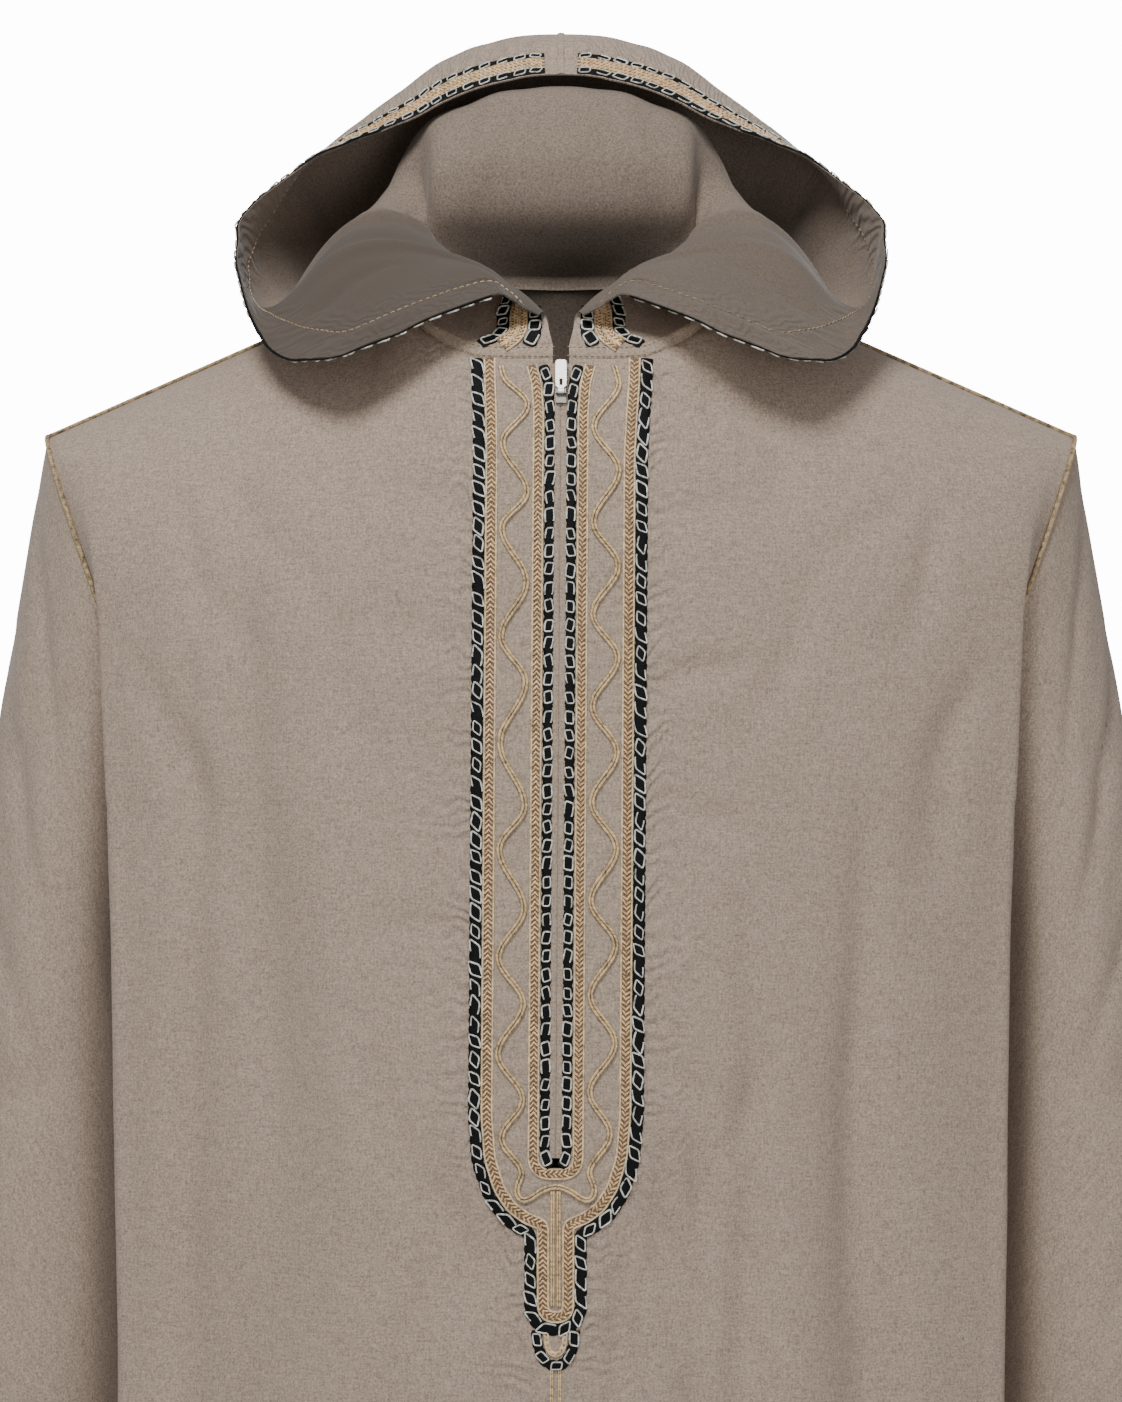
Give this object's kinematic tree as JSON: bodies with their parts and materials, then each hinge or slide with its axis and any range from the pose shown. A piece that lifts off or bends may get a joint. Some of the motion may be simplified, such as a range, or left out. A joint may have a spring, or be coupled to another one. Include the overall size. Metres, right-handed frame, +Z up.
{
  "type": "hooded abaya robe",
  "caption": "Long hooded robe with set-in sleeves, a zip front framed by braids and cords, and a laid-back hood.",
  "frame": {"origin": "centre of the neck opening, level with the side neck points, where the wearer's neck holds the robe", "axes": "+X to the wearer's left, front towards -Y, +Z up"},
  "size_m": [0.764, 0.3452, 1.4878],
  "materials": {
    "taupe_cloth": "matte plain-weave cloth",
    "gold_braid": "satin braid and cord",
    "dark_braid": "satin braid",
    "zip_metal": "polished zip slider and pull"
  },
  "bodies": {
    "robe": {"armhole_piping_left": "gold_braid", "armhole_piping_right": "gold_braid", "back": "taupe_cloth", "front": "taupe_cloth", "front_cord_left": "gold_braid", "front_cord_right": "gold_braid", "hood_centre_strip": "taupe_cloth", "hood_edge_dark_left": "dark_braid", "hood_edge_dark_right": "dark_braid", "hood_edge_gold_left": "gold_braid", "hood_edge_gold_right": "gold_braid", "hood_edge_upper_left": "dark_braid", "hood_edge_upper_right": "dark_braid", "hood_left": "taupe_cloth", "hood_right": "taupe_cloth", "hood_stand_dark_left": "dark_braid", "hood_stand_dark_right": "dark_braid", "hood_stand_gold_left": "gold_braid", "hood_stand_gold_right": "gold_braid", "hood_stand_outer_left": "dark_braid", "hood_stand_outer_right": "dark_braid", "neck_band": "taupe_cloth", "placket_dark_inner": "dark_braid", "placket_dark_outer": "dark_braid", "placket_gold_inner": "gold_braid", "placket_gold_outer": "gold_braid", "placket_wave_cord": "gold_braid", "shoulder_piping_left": "gold_braid", "shoulder_piping_right": "gold_braid", "sleeve_left": "taupe_cloth", "sleeve_right": "taupe_cloth", "stem_cord_left": "gold_braid", "stem_cord_right": "gold_braid", "tip_dark": "dark_braid", "tip_gold": "gold_braid", "zip_slider": "zip_metal", "zip_tape": "taupe_cloth"},
    "pull_tab": {"zip_pull": "zip_metal"}
  },
  "joints": [
    {"name": "pull_flip", "type": "hinge", "parent": "robe", "child": "pull_tab", "pos_m": [0, -0.11503, -0.05515], "axis": [1, 0, 0], "range_deg": [0, 170]}
  ]
}
